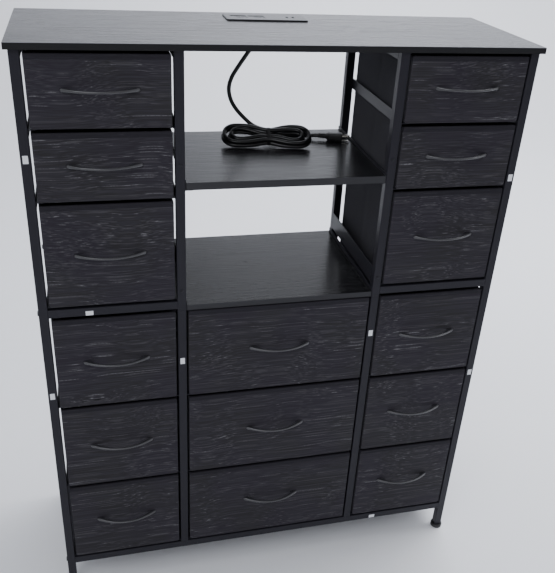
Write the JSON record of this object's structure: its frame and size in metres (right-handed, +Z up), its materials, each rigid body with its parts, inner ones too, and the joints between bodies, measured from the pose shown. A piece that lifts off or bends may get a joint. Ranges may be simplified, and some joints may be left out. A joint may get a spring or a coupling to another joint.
{
  "type": "dresser",
  "caption": "Tall steel-framed dresser with pull-out fabric drawers on both sides and below, two open shelves in the middle and a power outlet in the top.",
  "frame": {"origin": "on the floor, midway across the width and midway between the handles' foremost point and the back of the rear feet", "axes": "+X to the right seen from the front, +Y towards the back, +Z up"},
  "size_m": [1, 0.354, 1.295],
  "materials": {
    "frame_paint": "matte black powder coat",
    "board_laminate": "black wood-grain laminate, satin",
    "front_print": "charcoal wood print, matte",
    "bin_fabric": "black non-woven fabric",
    "handle_coat": "dark grey, satin",
    "screw_steel": "zinc plated",
    "foot_plastic": "matte black",
    "outlet_plastic": "gloss black",
    "cord_sheath": "black flexible sheath",
    "plug_plastic": "black moulded",
    "tie_plastic": "black"
  },
  "bodies": {
    "frame": {"top_board": "board_laminate", "upper_shelf": "board_laminate", "lower_shelf": "board_laminate", "left_frame": "frame_paint", "middle_left_frame": "frame_paint", "middle_right_frame": "frame_paint", "right_frame": "frame_paint", "crossbars": "frame_paint", "feet": "foot_plastic", "frame_fasteners": "screw_steel", "power_outlet": "outlet_plastic", "cord_lead": "cord_sheath", "cord_hank": "cord_sheath", "plug": "plug_plastic", "cord_tie": "tie_plastic"},
    "left_drawer_1": {"left_drawer_1_bin": "bin_fabric", "left_drawer_1_front": "front_print", "left_drawer_1_handle": "handle_coat"},
    "left_drawer_2": {"left_drawer_2_bin": "bin_fabric", "left_drawer_2_front": "front_print", "left_drawer_2_handle": "handle_coat"},
    "left_drawer_3": {"left_drawer_3_bin": "bin_fabric", "left_drawer_3_front": "front_print", "left_drawer_3_handle": "handle_coat"},
    "left_drawer_4": {"left_drawer_4_bin": "bin_fabric", "left_drawer_4_front": "front_print", "left_drawer_4_handle": "handle_coat"},
    "left_drawer_5": {"left_drawer_5_bin": "bin_fabric", "left_drawer_5_front": "front_print", "left_drawer_5_handle": "handle_coat"},
    "left_drawer_6": {"left_drawer_6_bin": "bin_fabric", "left_drawer_6_front": "front_print", "left_drawer_6_handle": "handle_coat"},
    "centre_drawer_1": {"centre_drawer_1_bin": "bin_fabric", "centre_drawer_1_front": "front_print", "centre_drawer_1_handle": "handle_coat"},
    "centre_drawer_2": {"centre_drawer_2_bin": "bin_fabric", "centre_drawer_2_front": "front_print", "centre_drawer_2_handle": "handle_coat"},
    "centre_drawer_3": {"centre_drawer_3_bin": "bin_fabric", "centre_drawer_3_front": "front_print", "centre_drawer_3_handle": "handle_coat"},
    "right_drawer_1": {"right_drawer_1_bin": "bin_fabric", "right_drawer_1_front": "front_print", "right_drawer_1_handle": "handle_coat"},
    "right_drawer_2": {"right_drawer_2_bin": "bin_fabric", "right_drawer_2_front": "front_print", "right_drawer_2_handle": "handle_coat"},
    "right_drawer_3": {"right_drawer_3_bin": "bin_fabric", "right_drawer_3_front": "front_print", "right_drawer_3_handle": "handle_coat"},
    "right_drawer_4": {"right_drawer_4_bin": "bin_fabric", "right_drawer_4_front": "front_print", "right_drawer_4_handle": "handle_coat"},
    "right_drawer_5": {"right_drawer_5_bin": "bin_fabric", "right_drawer_5_front": "front_print", "right_drawer_5_handle": "handle_coat"},
    "right_drawer_6": {"right_drawer_6_bin": "bin_fabric", "right_drawer_6_front": "front_print", "right_drawer_6_handle": "handle_coat"}
  },
  "joints": [
    {"name": "left_drawer_1_slide", "type": "slide", "parent": "frame", "child": "left_drawer_1", "axis": [0, -1, 0], "range_m": [0, 0.24]},
    {"name": "left_drawer_2_slide", "type": "slide", "parent": "frame", "child": "left_drawer_2", "axis": [0, -1, 0], "range_m": [0, 0.24]},
    {"name": "left_drawer_3_slide", "type": "slide", "parent": "frame", "child": "left_drawer_3", "axis": [0, -1, 0], "range_m": [0, 0.24]},
    {"name": "left_drawer_4_slide", "type": "slide", "parent": "frame", "child": "left_drawer_4", "axis": [0, -1, 0], "range_m": [0, 0.24]},
    {"name": "left_drawer_5_slide", "type": "slide", "parent": "frame", "child": "left_drawer_5", "axis": [0, -1, 0], "range_m": [0, 0.24]},
    {"name": "left_drawer_6_slide", "type": "slide", "parent": "frame", "child": "left_drawer_6", "axis": [0, -1, 0], "range_m": [0, 0.24]},
    {"name": "centre_drawer_1_slide", "type": "slide", "parent": "frame", "child": "centre_drawer_1", "axis": [0, -1, 0], "range_m": [0, 0.24]},
    {"name": "centre_drawer_2_slide", "type": "slide", "parent": "frame", "child": "centre_drawer_2", "axis": [0, -1, 0], "range_m": [0, 0.24]},
    {"name": "centre_drawer_3_slide", "type": "slide", "parent": "frame", "child": "centre_drawer_3", "axis": [0, -1, 0], "range_m": [0, 0.24]},
    {"name": "right_drawer_1_slide", "type": "slide", "parent": "frame", "child": "right_drawer_1", "axis": [0, -1, 0], "range_m": [0, 0.24]},
    {"name": "right_drawer_2_slide", "type": "slide", "parent": "frame", "child": "right_drawer_2", "axis": [0, -1, 0], "range_m": [0, 0.24]},
    {"name": "right_drawer_3_slide", "type": "slide", "parent": "frame", "child": "right_drawer_3", "axis": [0, -1, 0], "range_m": [0, 0.24]},
    {"name": "right_drawer_4_slide", "type": "slide", "parent": "frame", "child": "right_drawer_4", "axis": [0, -1, 0], "range_m": [0, 0.24]},
    {"name": "right_drawer_5_slide", "type": "slide", "parent": "frame", "child": "right_drawer_5", "axis": [0, -1, 0], "range_m": [0, 0.24]},
    {"name": "right_drawer_6_slide", "type": "slide", "parent": "frame", "child": "right_drawer_6", "axis": [0, -1, 0], "range_m": [0, 0.24]}
  ]
}
